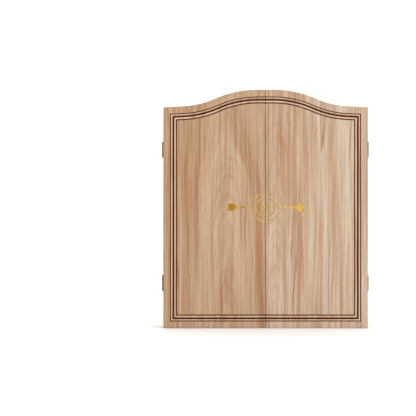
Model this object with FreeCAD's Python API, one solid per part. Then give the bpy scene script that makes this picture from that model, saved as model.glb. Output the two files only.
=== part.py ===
import FreeCAD, Part
import math
import os

# Dart board cabinet: an arched wall cabinet with two doors, a round bristle board on its
# bracket inside, and three darts standing in a rack on the back of each door.
# Millimetres. +X is to the right seen from the front, -Y is the front, +Z is up.
# The origin is the middle of the footprint, on the plane that the cabinet stands on.

V = FreeCAD.Vector
OUT = "parts"

# Driving dimensions of the cabinet
WIDTH = 510.0
DEPTH = 102.0
PEAK_H = 595.0
DOOR_T = 16.0
SEAM_GAP = 1.0
CENTRE_GAP = 1.2
FLOOR_GAP = 1.0
WALL_T = 12.0
BACK_T = 6.0
WALL_SCREW_R = 2.75
WALL_SCREW_X = 406.4
WALL_SCREW_Z = 390.0

# The arch: a short flat, a crown, a cove and a gently falling tail on each side
CREST_HALF = 19.0
CROWN_R = 267.0
CROWN_DEG = 24.0
COVE_R = 213.5
TAIL_DEG = 3.0

# Three routed lines with a stained fill, along the edge of the closed doors: (inset, width)
LINES = ((18.2, 2.6), (24.9, 4.8), (32.9, 3.0))
LINE_DEPTH = 1.4
LINE_FILL = 1.0

# Butt hinges on the outer corners
HINGE_Z = (112.0, 446.0)
HINGE_L = 38.0
KNUCKLE_R = 3.2
KNUCKLE_COUNT = 5
KNUCKLE_GAP = 0.3
PIN_R = 1.3
PIN_CLEARANCE = 0.05
LEAF_T = 1.2
LEAF_W = 11.0
LEAF_SPLIT = 0.4
LEAF_SCREW_X = 6.8
LEAF_SCREW_Z = 11.0
LEAF_EDGE = 0.4
HINGE_X = WIDTH / 2 + 1.0

# Wood screws
SCREW_R = 1.3
SCREW_HEAD_R = 2.5
SCREW_CONE_L = 1.2
SCREW_TIP_L = 2.0
LEAF_SCREW_L = 12.0
CROSS_HALF = 1.3
CROSS_HALF_W = 0.25
CROSS_DEPTH = 0.7

# The board
BOARD_Z = 305.0
BOARD_R = 225.5
BOARD_T = 38.0
BOARD_GAP = 5.0
BAND_T = 1.0
BACKING_T = 8.0
DOUBLE_R = (162.0, 170.0)
TRIPLE_R = (99.0, 107.0)
OUTER_BULL_R = 15.9
BULL_R = 6.35
WIRE_W = 1.5
WIRE_H = 1.1
SECTORS = 20
NUMBERS = (20, 1, 18, 4, 13, 6, 10, 15, 2, 17, 3, 19, 7, 16, 8, 11, 14, 9, 12, 5)
FEET_OUT = range(6, 15)
NUMBER_RING_R = 217.0
NUMBER_WIRE_R = 1.4
NUMBER_H = 26.0
NUMBER_W = 14.0
DIGIT_GAP = 4.5
NUMBER_LIFT = 0.1

# The darts: (x of the axis) for the darts of the right door; the left door mirrors them
DART_X = (160.0, 190.0, 220.0)
DART_OFF_DOOR = 17.0
DART_TIP_Z = 22.0
DART_L = 144.0
POINT_L = 32.0
POINT_R = 1.15
POINT_SEAT = 8.0
BARREL_L = 50.0
BARREL_R = 3.4
GRIP_RINGS = 12
GRIP_PITCH = 2.4
GRIP_CUT = 0.35
STEM_L = 34.0
STEM_R = 2.1
STEM_COLLAR_R = 2.8
STEM_THREAD_R = 1.2
STEM_THREAD_L = 6.0
FLIGHT_L = 40.0
FLIGHT_R = 20.0
FLIGHT_T = 0.5
# one fin from its foot on the stem up to its peak: distance from the dart's axis, height
FIN_OUTLINE = ((2.2, 0.0), (FLIGHT_R, 15.0), (FLIGHT_R, 28.0), (16.5, 34.0), (0.0, FLIGHT_L))
FIN_DEG = (45, 135, 225, 315)

# The racks and the scoring panels on the backs of the doors
RACK_LOW_Z = 38.8
RACK_H = 20.0
RACK_DEPTH = 27.0
RACK_MARGIN = 14.0
SOCKET_HALF = 2.95
BATTEN_ROUND = 3.0
SLATE_X = (24.0, 232.0)
SLATE_Z = (226.0, 508.0)
SLATE_T = 2.5
FRAME_W = 9.0
FRAME_T = 4.0

# The gold inlay: a target of rings round a dot, and a level dart on each side
EMBLEM_Z = 302.0
EMBLEM_RINGS = (36.0, 24.0, 12.0)
EMBLEM_LINE = 2.0
EMBLEM_DOT_R = 4.5
EMBLEM_T = 0.6

# The slotted bracket that the board hangs on
BRACKET_HALF_W = 34.0
BRACKET_BELOW = 36.0
BRACKET_ABOVE = 32.0
BRACKET_FLANGE = 16.0
BRACKET_T = 1.5
BRACKET_OFFSET = 2.2
BRACKET_SCREW_Z = (-26.0, 22.0)
BRACKET_SCREW_R = 1.6
BRACKET_HOLE_R = 1.8
PAN_HEAD_R = 3.2
PAN_HEAD_H = 1.4
SLOT_R = 2.6

# The screw in the middle of the board's back, and the pads beside it
NECK_CLEARANCE = 0.08
BOARD_SCREW_HEAD_R = 6.0
BOARD_SCREW_HEAD_H = 1.6
BOARD_SCREW_R = 2.2
BOARD_SCREW_L = 22.0
HEAD_GAP = 0.2
FOOT_COUNT = 3
FOOT_ORBIT = 180.0
FOOT_R = 9.0
FOOT_TAPER = 1.5
FOOT_GAP = 0.4

# The clips of the number ring: each reaches over the wire and stands on the face outside it
CLIP_DEG = (45, 135, 225, 315)
CLIP_HALF_W = 8.0
CLIP_REACH = 12.0
CLIP_T = 1.0
CLIP_CLEARANCE = 0.35
CLIP_FOOT = 7.0
CLIP_RIB_X = (-5.0, 0.0, 5.0)
CLIP_RIB_HALF = 0.9
CLIP_RIB_H = 0.6

# The magnetic catch and its strike plates
CATCH_X = 16.0
CATCH_HALF_W = 27.0
CATCH_H = 13.0
CATCH_D = 15.0
CATCH_EAR = 9.0
CATCH_EAR_T = 2.5
CATCH_EAR_Y = (3.0, 12.0)
POLE_HALF_W = 7.0
POLE_T = 2.0
POLE_Z = (3.0, 7.5)
POLE_PROUD = 0.2
STRIKE_HALF_W = 10.0
STRIKE_LET_IN = 0.8
STRIKE_PROUD = 0.3

# Planes along the depth, and heights along a dart
FRONT_Y = -DEPTH / 2
BACK_Y = DEPTH / 2
DOOR_BACK_Y = FRONT_Y + DOOR_T
CASE_FRONT_Y = DOOR_BACK_Y + SEAM_GAP
SEAM_Y = DOOR_BACK_Y + SEAM_GAP / 2
PANEL_Y = BACK_Y - BACK_T
BOARD_BACK_Y = PANEL_Y - BOARD_GAP
BOARD_FACE_Y = BOARD_BACK_Y - BOARD_T
DART_Y = DOOR_BACK_Y + DART_OFF_DOOR
BARREL_LOW_Z = DART_TIP_Z + POINT_L
STEM_LOW_Z = BARREL_LOW_Z + BARREL_L
FLIGHT_LOW_Z = DART_TIP_Z + DART_L - FLIGHT_L


def save(name, shape):
    shape.exportStep(os.path.join(OUT, name + ".step"))


def box(x, y, z):
    """A box between two values on each axis."""
    return Part.makeBox(x[1] - x[0], y[1] - y[0], z[1] - z[0], V(x[0], y[0], z[0]))


def rod(radius, start, end):
    """A cylinder between two points."""
    run = end - start
    return Part.makeCylinder(radius, run.Length, start, run)


def fuse(shapes):
    return shapes[0].multiFuse(list(shapes[1:])).removeSplitter() if len(shapes) > 1 else shapes[0]


def mirrored(shape):
    return shape.mirror(V(0, 0, 0), V(1, 0, 0))


# ---------------------------------------------------------------- outline and panels

def arch_stations():
    """Start, middle and end of the crown and of the cove, and the outer end of the tail."""
    def crown(deg):
        turn = math.radians(deg)
        return V(CREST_HALF + CROWN_R * math.sin(turn), 0, PEAK_H - CROWN_R * (1 - math.cos(turn)))

    end = crown(CROWN_DEG)
    slope = math.radians(CROWN_DEG)
    centre = V(end.x + COVE_R * math.sin(slope), 0, end.z + COVE_R * math.cos(slope))

    def cove(deg):
        turn = math.radians(deg)
        return V(centre.x - COVE_R * math.sin(turn), 0, centre.z - COVE_R * math.cos(turn))

    tail = cove(TAIL_DEG)
    run = WIDTH / 2 - tail.x
    shoulder = V(WIDTH / 2, 0, tail.z - run * math.tan(math.radians(TAIL_DEG)))
    return [crown(0), crown(CROWN_DEG / 2), end, cove((CROWN_DEG + TAIL_DEG) / 2), tail, shoulder]


def flip(point):
    return V(-point.x, point.y, point.z)


def outline():
    """The closed front outline of the cabinet, in the plane y = 0."""
    right = arch_stations()
    left = [flip(p) for p in right]
    low_right = V(WIDTH / 2, 0, 0)
    low_left = V(-WIDTH / 2, 0, 0)
    edges = [
        Part.LineSegment(low_left, low_right).toShape(),
        Part.LineSegment(low_right, right[5]).toShape(),
        Part.LineSegment(right[5], right[4]).toShape(),
        Part.Arc(right[4], right[3], right[2]).toShape(),
        Part.Arc(right[2], right[1], right[0]).toShape(),
        Part.LineSegment(right[0], left[0]).toShape(),
        Part.Arc(left[0], left[1], left[2]).toShape(),
        Part.Arc(left[2], left[3], left[4]).toShape(),
        Part.LineSegment(left[4], left[5]).toShape(),
        Part.LineSegment(left[5], low_left).toShape(),
    ]
    return Part.Wire(edges)


def inset_face(inset):
    """The face inside the outline, inset all round with sharp corners."""
    if inset == 0:
        return Part.Face(outline())
    wire = outline().makeOffset2D(-inset, 2)
    return Part.Face(wire)


def slab(inset, y0, y1):
    """The inset outline as a solid from y0 to y1."""
    face = inset_face(inset)
    face.translate(V(0, y0, 0))
    return face.extrude(V(0, y1 - y0, 0))


def line_band(inset, width, y0, y1):
    """One line that runs all round, as a closed band."""
    outer = slab(inset - width / 2, y0, y1)
    inner = slab(inset + width / 2, y0 - 1, y1 + 1)
    return outer.cut(inner)


def half_space(side, gap):
    """Everything on one side of the centre line, short of the gap."""
    block = box((gap, WIDTH), (-DEPTH, DEPTH), (-10, PEAK_H + 10))
    return block if side > 0 else mirrored(block)


# ---------------------------------------------------------------- hinges and screws

def knuckle_spans():
    """The heights of each knuckle along a hinge, from its middle."""
    pitch = HINGE_L / KNUCKLE_COUNT
    low = -HINGE_L / 2
    return [(low + i * pitch + KNUCKLE_GAP / 2, low + (i + 1) * pitch - KNUCKLE_GAP / 2)
            for i in range(KNUCKLE_COUNT)]


def hinge_leaf(z, on_door):
    """One leaf of a right-hand hinge with its knuckles; the case has the outer three."""
    near = SEAM_Y + (-LEAF_SPLIT / 2 - LEAF_T if on_door else LEAF_SPLIT / 2)
    inner = HINGE_X - KNUCKLE_R - LEAF_EDGE
    depth = (near, near + LEAF_T)
    half = HINGE_L / 2 - KNUCKLE_GAP / 2
    parts = [box((inner - LEAF_W, inner), depth, (z - half, z + half))]
    first = 1 if on_door else 0
    for low, high in knuckle_spans()[first::2]:
        parts.append(rod(KNUCKLE_R, V(HINGE_X, SEAM_Y, z + low), V(HINGE_X, SEAM_Y, z + high)))
        parts.append(box((inner - 1, HINGE_X), depth, (z + low, z + high)))
    leaf = fuse(parts)
    bore = rod(PIN_R + PIN_CLEARANCE, V(HINGE_X, SEAM_Y, z - HINGE_L), V(HINGE_X, SEAM_Y, z + HINGE_L))
    leaf = leaf.cut(bore)
    for screw in leaf_screws(z, on_door, PIN_CLEARANCE):
        leaf = leaf.cut(screw)
    return leaf


def countersunk(head, direction, length, spare):
    """A countersunk wood screw: flat head, cone, shank and a pointed end."""
    head_r = SCREW_HEAD_R + spare
    shank_r = SCREW_R + spare
    shank_l = length - SCREW_CONE_L - SCREW_TIP_L
    cone = Part.makeCone(head_r, shank_r, SCREW_CONE_L, head, direction)
    shank = Part.makeCylinder(shank_r, shank_l, head + direction * SCREW_CONE_L, direction)
    tip_start = head + direction * (length - SCREW_TIP_L)
    tip = Part.makeCone(shank_r, SCREW_R / 4 + spare, SCREW_TIP_L, tip_start, direction)
    return fuse([cone, shank, tip])


def cross_slot(head, direction, reach):
    """The cross recess in a screw head, as a cutting tool."""
    y = sorted((head.y, head.y + direction.y * CROSS_DEPTH))
    arms = ((reach, CROSS_HALF_W), (CROSS_HALF_W, reach))
    return fuse([box((head.x - a, head.x + a), y, (head.z - b, head.z + b)) for a, b in arms])


def leaf_screws(z, on_door, spare=0.0):
    """The two screws of one right-hand leaf."""
    direction = V(0, -1, 0) if on_door else V(0, 1, 0)
    face = SEAM_Y - LEAF_SPLIT / 2 if on_door else SEAM_Y + LEAF_SPLIT / 2
    x = HINGE_X - KNUCKLE_R - LEAF_SCREW_X
    return [countersunk(V(x, face, z + dz), direction, LEAF_SCREW_L, spare)
            for dz in (-LEAF_SCREW_Z, LEAF_SCREW_Z)]


def slotted_leaf_screws(z, on_door):
    direction = V(0, -1, 0) if on_door else V(0, 1, 0)
    face = SEAM_Y - LEAF_SPLIT / 2 if on_door else SEAM_Y + LEAF_SPLIT / 2
    x = HINGE_X - KNUCKLE_R - LEAF_SCREW_X
    places = (z - LEAF_SCREW_Z, z + LEAF_SCREW_Z)
    return [screw.cut(cross_slot(V(x, face, place), direction, CROSS_HALF))
            for screw, place in zip(leaf_screws(z, on_door), places)]


def hinge_pin(z):
    """A pin with a round button at each end, just clear of the knuckles."""
    low = z - HINGE_L / 2 + KNUCKLE_GAP / 2
    high = z + HINGE_L / 2 - KNUCKLE_GAP / 2
    shaft = rod(PIN_R, V(HINGE_X, SEAM_Y, low - 1), V(HINGE_X, SEAM_Y, high + 1))
    caps = [Part.makeCylinder(2.4, 1.6, V(HINGE_X, SEAM_Y, high)),
            Part.makeCylinder(2.4, 1.6, V(HINGE_X, SEAM_Y, low - 1.6))]
    caps = [cap.makeFillet(0.7, [cap.Edges[0], cap.Edges[2]]) for cap in caps]
    return fuse([shaft] + caps)


def hinge_room(z, on_door):
    """The mortise and the corner relief that a right-hand hinge needs in the wood."""
    near = SEAM_Y - LEAF_SPLIT / 2 - LEAF_T if on_door else SEAM_Y
    far = SEAM_Y if on_door else SEAM_Y + LEAF_SPLIT / 2 + LEAF_T
    inner = HINGE_X - KNUCKLE_R - LEAF_EDGE
    half = HINGE_L / 2 + 2.5
    mortise = box((inner - LEAF_W - 0.1, HINGE_X), (near, far), (z - HINGE_L / 2, z + HINGE_L / 2))
    relief = rod(KNUCKLE_R + 0.5, V(HINGE_X, SEAM_Y, z - half), V(HINGE_X, SEAM_Y, z + half))
    return fuse([mortise, relief] + leaf_screws(z, on_door, PIN_CLEARANCE))


# ---------------------------------------------------------------- case

def case_side():
    """The right side board, cut under the arched top and relieved for its hinges."""
    side = box((WIDTH / 2 - WALL_T, WIDTH / 2), (CASE_FRONT_Y, BACK_Y), (0, PEAK_H))
    side = side.common(slab(0, CASE_FRONT_Y, BACK_Y)).cut(arch_top_blank())
    side = side.cut(back_blank())
    for z in HINGE_Z:
        side = side.cut(hinge_room(z, False))
    return side


def arch_top_blank():
    """The arched top board over the full width, one board thick."""
    band = slab(0, CASE_FRONT_Y, BACK_Y).cut(lowered_outline())
    low = arch_stations()[5].z - WALL_T
    return band.common(box((-WIDTH, WIDTH), (-DEPTH, DEPTH), (low - 2.0, PEAK_H + 1)))


def lowered_outline():
    """The space under the arched top: the outline moved down by one board."""
    face = Part.Face(outline())
    face.translate(V(0, CASE_FRONT_Y - 1, -WALL_T))
    return face.extrude(V(0, DEPTH + 2, 0))


def back_blank():
    """The room of the back panel, rabbeted into the boards by half their thickness."""
    return slab(WALL_T / 2, PANEL_Y, BACK_Y)


def arch_top():
    return arch_top_blank().cut(back_blank())


def bottom_panel():
    reach = WIDTH / 2 - WALL_T
    panel = box((-reach, reach), (CASE_FRONT_Y, BACK_Y), (0, WALL_T))
    return panel.cut(back_blank()).cut(fuse(catch_screws(PIN_CLEARANCE)))


def wall_screw_places():
    return [(sx * WALL_SCREW_X / 2, BOARD_Z + sz * WALL_SCREW_Z / 2)
            for sx in (-1, 1) for sz in (-1, 1)]


def back_panel():
    panel = back_blank()
    for x, z in wall_screw_places():
        panel = panel.cut(rod(WALL_SCREW_R, V(x, PANEL_Y - 1, z), V(x, BACK_Y + 1, z)))
    return panel.cut(fuse(bracket_shanks(PIN_CLEARANCE)))


# ---------------------------------------------------------------- board bracket and catch

def bracket_screw_places():
    x = BRACKET_HALF_W - BRACKET_FLANGE / 2
    return [(sx * x, BOARD_Z + dz) for sx in (-1, 1) for dz in BRACKET_SCREW_Z]


def board_bracket():
    """A joggled steel bracket: two flanges on the back panel and a slotted bridge between."""
    z = (BOARD_Z - BRACKET_BELOW, BOARD_Z + BRACKET_ABOVE)
    flange_y = (PANEL_Y - BRACKET_T, PANEL_Y)
    bridge_y = (PANEL_Y - BRACKET_T - BRACKET_OFFSET, PANEL_Y - BRACKET_OFFSET)
    inner = BRACKET_HALF_W - BRACKET_FLANGE
    parts = [box((-inner, inner), bridge_y, z)]
    for sx in (-1, 1):
        xs = sorted((sx * inner, sx * BRACKET_HALF_W))
        parts.append(box(xs, flange_y, z))
        web = sorted((sx * (inner - BRACKET_T), sx * inner))
        parts.append(box(web, (bridge_y[0], PANEL_Y), z))
    bracket = fuse(parts)
    slot = [rod(SLOT_R, V(0, 0, BOARD_Z), V(0, BACK_Y, BOARD_Z)),
            box((-SLOT_R, SLOT_R), (0, BACK_Y), (BOARD_Z, z[1] + 1))]
    bracket = bracket.cut(fuse(slot))
    for x, screw_z in bracket_screw_places():
        bracket = bracket.cut(rod(BRACKET_HOLE_R, V(x, 0, screw_z), V(x, BACK_Y, screw_z)))
    return bracket


def bracket_shanks(spare=0.0):
    """The shanks of the screws that hold the bracket, ending just inside the back panel."""
    face = PANEL_Y - BRACKET_T
    return [rod(BRACKET_SCREW_R + spare, V(x, face, z), V(x, BACK_Y - 0.8, z))
            for x, z in bracket_screw_places()]


def bracket_screws():
    """Pan-head screws with a cross slot."""
    face = PANEL_Y - BRACKET_T
    top = face - PAN_HEAD_H
    screws = []
    for (x, z), shank in zip(bracket_screw_places(), bracket_shanks()):
        head = rod(PAN_HEAD_R, V(x, top, z), V(x, face, z))
        head = head.makeFillet(0.8, [head.Edges[2]])
        slot = cross_slot(V(x, top, z), V(0, 1, 0), PAN_HEAD_R / 2)
        screws.append(fuse([head, shank]).cut(slot))
    return screws


def magnetic_catch():
    """A double magnetic catch on the bottom board, behind the meeting edges of the doors."""
    body = box((-CATCH_HALF_W, CATCH_HALF_W), (CASE_FRONT_Y, CASE_FRONT_Y + CATCH_D),
               (WALL_T, WALL_T + CATCH_H))
    upright = [e for e in body.Edges if abs(e.tangentAt(e.FirstParameter).z) > 0.9]
    body = body.makeFillet(2.0, upright)
    ear_reach = CATCH_HALF_W + CATCH_EAR
    ear_y = (CASE_FRONT_Y + CATCH_EAR_Y[0], CASE_FRONT_Y + CATCH_EAR_Y[1])
    ears = box((-ear_reach, ear_reach), ear_y, (WALL_T, WALL_T + CATCH_EAR_T))
    pole_y = (CASE_FRONT_Y - POLE_PROUD, CASE_FRONT_Y + 4)
    poles = []
    for sx in (-1, 1):
        for dz in POLE_Z:
            x = sorted((sx * (CATCH_X - POLE_HALF_W), sx * (CATCH_X + POLE_HALF_W)))
            poles.append(box(x, pole_y, (WALL_T + dz, WALL_T + dz + POLE_T)))
    catch = fuse([body, ears] + poles)
    return catch.cut(fuse(catch_screws(PIN_CLEARANCE)))


def catch_screws(spare=0.0):
    """The screw through each ear, down into the bottom board."""
    top = WALL_T + CATCH_EAR_T
    y = CASE_FRONT_Y + sum(CATCH_EAR_Y) / 2
    cone_low = top - SCREW_CONE_L
    screws = []
    for sx in (-1, 1):
        x = sx * (CATCH_HALF_W + CATCH_EAR / 2)
        cone = Part.makeCone(SCREW_HEAD_R + spare, SCREW_R + spare, SCREW_CONE_L, V(x, y, top), V(0, 0, -1))
        shank = rod(SCREW_R + spare, V(x, y, cone_low), V(x, y, top - 10))
        screws.append(fuse([cone, shank]))
    return screws


# ---------------------------------------------------------------- doors

def emblem_face(side):
    """A target of three rings with a dart flying in level from each side."""
    y0 = FRONT_Y
    y1 = FRONT_Y + EMBLEM_T
    z = EMBLEM_Z
    shapes = []
    for radius in EMBLEM_RINGS:
        ring = rod(radius, V(0, y0, z), V(0, y1, z))
        shapes.append(ring.cut(rod(radius - EMBLEM_LINE, V(0, y0 - 1, z), V(0, y1 + 1, z))))
    shapes.append(rod(EMBLEM_DOT_R, V(0, y0, z), V(0, y1, z)))
    shapes.append(emblem_dart(y0, y1, z))
    shapes.append(mirrored(emblem_dart(y0, y1, z)))
    return fuse(shapes).common(half_space(side, CENTRE_GAP / 2))


def emblem_dart(y0, y1, z):
    """A level dart in outline, its point at the outer ring."""
    tip = EMBLEM_RINGS[0] - 1.0
    outline_points = [(0, 0), (14, 1.0), (15, 2.6), (29, 2.6), (31, 1.0), (38, 1.0),
                      (44, 9.0), (62, 9.0), (57, 0)]
    upper = [V(tip + a, y0, z + b) for a, b in outline_points]
    lower = [V(tip + a, y0, z - b) for a, b in reversed(outline_points[1:-1])]
    wire = Part.makePolygon(upper + lower + [upper[0]])
    return Part.Face(wire).extrude(V(0, y1 - y0, 0))


def door_blank(side):
    panel = slab(0, FRONT_Y, DOOR_BACK_Y).common(half_space(side, CENTRE_GAP / 2))
    return panel.cut(box((-WIDTH, WIDTH), (-DEPTH, DEPTH), (-1, FLOOR_GAP)))


def door_lines(side):
    """The stained floor of the three routed lines."""
    y1 = FRONT_Y + LINE_DEPTH
    bands = [line_band(inset, width, y1 - LINE_FILL, y1) for inset, width in LINES]
    return Part.makeCompound([band.common(half_space(side, CENTRE_GAP / 2)) for band in bands])


def right_room(side, shape):
    return shape if side > 0 else mirrored(shape)


def door_panel(side):
    panel = door_blank(side)
    for inset, width in LINES:
        panel = panel.cut(line_band(inset, width, FRONT_Y - 1, FRONT_Y + LINE_DEPTH))
    panel = panel.cut(emblem_face(side))
    for z in HINGE_Z:
        panel = panel.cut(right_room(side, hinge_room(z, True)))
    panel = panel.cut(right_room(side, strike_plate()))
    return panel.cut(right_room(side, fuse(rack_screws(PIN_CLEARANCE))))


def strike_plate():
    """The steel plate that the catch pulls on, let into the back of the right door."""
    x = (CATCH_X - STRIKE_HALF_W, CATCH_X + STRIKE_HALF_W)
    z = (WALL_T + 1, WALL_T + CATCH_H - 1)
    return box(x, (DOOR_BACK_Y - STRIKE_LET_IN, DOOR_BACK_Y + STRIKE_PROUD), z)


def rack_x():
    return (DART_X[0] - RACK_MARGIN, DART_X[-1] + RACK_MARGIN)


def dart_rack():
    """Two battens with spacers between, which leave a square socket for each tapered barrel nose."""
    low, high = rack_x()
    z = (RACK_LOW_Z, RACK_LOW_Z + RACK_H)
    front_y = (DART_Y + SOCKET_HALF, DOOR_BACK_Y + RACK_DEPTH)
    back_batten = box((low, high), (DOOR_BACK_Y, DART_Y - SOCKET_HALF), z)
    front_batten = box((low, high), front_y, z)
    rounded = [e for e in front_batten.Edges
               if abs(e.tangentAt(e.FirstParameter).z) > 0.9 and e.CenterOfMass.y > front_y[0] + 1]
    parts = [back_batten, front_batten.makeFillet(BATTEN_ROUND, rounded)]
    starts = [low] + [x + SOCKET_HALF for x in DART_X]
    ends = [x - SOCKET_HALF for x in DART_X] + [high]
    for start, end in zip(starts, ends):
        parts.append(box((start, end), (DART_Y - SOCKET_HALF, DART_Y + SOCKET_HALF), z))
    bores = fuse(rack_screws(PIN_CLEARANCE))
    return Part.makeCompound([part.cut(bores) for part in parts])


def rack_screws(spare=0.0):
    """Two screws from the front of the block into the back of the right door."""
    front = DOOR_BACK_Y + RACK_DEPTH
    z = RACK_LOW_Z + RACK_H / 2
    places = [(a + b) / 2 for a, b in zip(DART_X, DART_X[1:])]
    return [countersunk(V(x, front, z), V(0, -1, 0), RACK_DEPTH + 10, spare) for x in places]


def door_screws():
    """All the screws that ride on the right door."""
    screws = []
    for z in HINGE_Z:
        screws += slotted_leaf_screws(z, True)
    front = DOOR_BACK_Y + RACK_DEPTH
    z = RACK_LOW_Z + RACK_H / 2
    for screw, (a, b) in zip(rack_screws(), zip(DART_X, DART_X[1:])):
        screws.append(screw.cut(cross_slot(V((a + b) / 2, front, z), V(0, -1, 0), CROSS_HALF)))
    return screws


def scoreboard():
    """The writing panel on the back of the right door."""
    x = (SLATE_X[0] + FRAME_W, SLATE_X[1] - FRAME_W)
    z = (SLATE_Z[0] + FRAME_W, SLATE_Z[1] - FRAME_W)
    return box(x, (DOOR_BACK_Y, DOOR_BACK_Y + SLATE_T), z)


def scoreboard_frame():
    """A slim bevelled moulding round the writing panel."""
    y = (DOOR_BACK_Y, DOOR_BACK_Y + FRAME_T)
    outer = box(SLATE_X, y, SLATE_Z)
    front_edges = [e for e in outer.Edges if abs(e.CenterOfMass.y - y[1]) < 0.01]
    outer = outer.makeChamfer(1.5, front_edges)
    x = (SLATE_X[0] + FRAME_W, SLATE_X[1] - FRAME_W)
    z = (SLATE_Z[0] + FRAME_W, SLATE_Z[1] - FRAME_W)
    return outer.cut(box(x, (y[0] - 1, y[1] + 1), z))


# ---------------------------------------------------------------- board

def disc(radius, y0, y1):
    return rod(radius, V(0, y0, BOARD_Z), V(0, y1, BOARD_Z))


def ring(outer, inner, y0, y1):
    return disc(outer, y0, y1).cut(disc(inner, y0 - 1, y1 + 1))


def centre_screw(spare=0.0):
    """The round-headed screw in the middle of the board's back; its neck sits in the bracket."""
    head_y = PANEL_Y - BRACKET_OFFSET + HEAD_GAP
    head_end = head_y + BOARD_SCREW_HEAD_H
    neck = disc(SLOT_R - NECK_CLEARANCE + spare, BOARD_BACK_Y, head_y)
    head = disc(BOARD_SCREW_HEAD_R, head_y, head_end)
    head = head.makeFillet(0.6, [e for e in head.Edges if e.CenterOfMass.y > head_end - 0.1])
    shank = disc(BOARD_SCREW_R + spare, BOARD_BACK_Y - BOARD_SCREW_L, BOARD_BACK_Y)
    return fuse([neck, head, shank])


def rubber_feet():
    """Pads on the board's back that keep it from rocking on the back panel."""
    feet = []
    for i in range(FOOT_COUNT):
        turn = math.radians(90 + 360 / FOOT_COUNT * i)
        place = V(FOOT_ORBIT * math.cos(turn), BOARD_BACK_Y, BOARD_Z + FOOT_ORBIT * math.sin(turn))
        feet.append(Part.makeCone(FOOT_R, FOOT_R - FOOT_TAPER, BOARD_GAP - FOOT_GAP, place, V(0, 1, 0)))
    return Part.makeCompound(feet)


def backing_board():
    back = disc(BOARD_R - BAND_T, BOARD_BACK_Y - BACKING_T, BOARD_BACK_Y)
    return back.cut(centre_screw(PIN_CLEARANCE))


def sisal_disc():
    face = disc(BOARD_R - BAND_T, BOARD_FACE_Y, BOARD_BACK_Y - BACKING_T)
    return face.cut(centre_screw(PIN_CLEARANCE))


def spider_wires():
    """The wire frame on the face: four rings, the two bull rings and twenty radial wires."""
    y0 = BOARD_FACE_Y - WIRE_H
    y1 = BOARD_FACE_Y
    half = WIRE_W / 2
    parts = []
    for radius in DOUBLE_R + TRIPLE_R + (OUTER_BULL_R, BULL_R):
        parts.append(ring(radius + half, radius - half, y0, y1))
    for i in range(SECTORS):
        spoke = box((-half, half), (y0, y1), (BOARD_Z + OUTER_BULL_R, BOARD_Z + DOUBLE_R[1] + 2))
        spoke.rotate(V(0, 0, BOARD_Z), V(0, 1, 0), 360 / SECTORS * (i + 0.5))
        parts.append(spoke)
    return Part.makeCompound([fuse(parts[:5] + parts[6:]), parts[5]])


def stroke(points, half, y):
    """A flat strip through a list of points in the plane of the face, with round joints."""
    parts = []
    for a, b in zip(points, points[1:]):
        run = b - a
        strip = box((0, run.Length), y, (-half, half))
        strip.rotate(V(0, 0, 0), V(0, 1, 0), -math.degrees(math.atan2(run.z, run.x)))
        strip.translate(V(a.x, 0, a.z))
        parts.append(strip)
    for joint in points:
        parts.append(rod(half, V(joint.x, y[0], joint.z), V(joint.x, y[1], joint.z)))
    return parts


def arc_points(cx, cz, rx, rz, start, end, steps):
    return [(cx + rx * math.cos(math.radians(start + (end - start) * i / steps)),
             cz + rz * math.sin(math.radians(start + (end - start) * i / steps)))
            for i in range(steps + 1)]


def digit_strokes(digit):
    """Bent-wire digits in a box one unit wide and two high, foot at z = 0."""
    shapes = {
        0: [arc_points(0.5, 1.0, 0.5, 1.0, 90, 450, 12)],
        1: [[(0.15, 1.65), (0.55, 2.0), (0.55, 0.0)]],
        2: [arc_points(0.5, 1.45, 0.5, 0.55, 160, -30, 6) + [(0.0, 0.0), (1.0, 0.0)]],
        3: [arc_points(0.45, 1.5, 0.5, 0.5, 150, -80, 6) + arc_points(0.45, 0.5, 0.55, 0.5, 80, -150, 7)],
        4: [[(1.0, 0.6), (0.0, 0.6), (0.7, 2.0), (0.7, 0.0)]],
        5: [[(0.95, 2.0), (0.15, 2.0), (0.1, 1.1)] + arc_points(0.42, 0.65, 0.55, 0.65, 110, -150, 7)],
        6: [[(0.8, 2.0), (0.15, 1.0)] + arc_points(0.5, 0.55, 0.48, 0.55, 160, 520, 10)],
        7: [[(0.0, 2.0), (1.0, 2.0), (0.35, 0.0)]],
        8: [arc_points(0.5, 1.5, 0.42, 0.5, -90, 270, 10), arc_points(0.5, 0.5, 0.5, 0.5, 90, 450, 10)],
        9: [[(0.2, 0.0), (0.85, 1.0)] + arc_points(0.5, 1.45, 0.48, 0.55, -20, 340, 10)],
    }
    return shapes[digit]


def wire_number(value, sector, y):
    """One number inside the ring; the upright ones along the bottom have their feet to it."""
    digits = [int(c) for c in str(value)]
    total = len(digits) * NUMBER_W + (len(digits) - 1) * DIGIT_GAP
    foot = NUMBER_RING_R - NUMBER_H
    parts = []
    for place, digit in enumerate(digits):
        left = -total / 2 + place * (NUMBER_W + DIGIT_GAP)
        for line in digit_strokes(digit):
            points = [V(left + a * NUMBER_W, 0, BOARD_Z + foot + b * NUMBER_H / 2) for a, b in line]
            parts += stroke(points, NUMBER_WIRE_R, y)
    number = fuse(parts)
    if sector in FEET_OUT:
        number.rotate(V(0, 0, BOARD_Z + foot + NUMBER_H / 2), V(0, 1, 0), 180)
    number.rotate(V(0, 0, BOARD_Z), V(0, 1, 0), 360 / SECTORS * sector)
    return number


def number_ring():
    """The loose ring with its numbers, in one piece."""
    y = (BOARD_FACE_Y - 2 * NUMBER_WIRE_R - NUMBER_LIFT, BOARD_FACE_Y - NUMBER_LIFT)
    hoop = ring(NUMBER_RING_R + NUMBER_WIRE_R, NUMBER_RING_R - NUMBER_WIRE_R, y[0], y[1])
    return fuse([hoop] + [wire_number(value, i, y) for i, value in enumerate(NUMBERS)])


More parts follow.
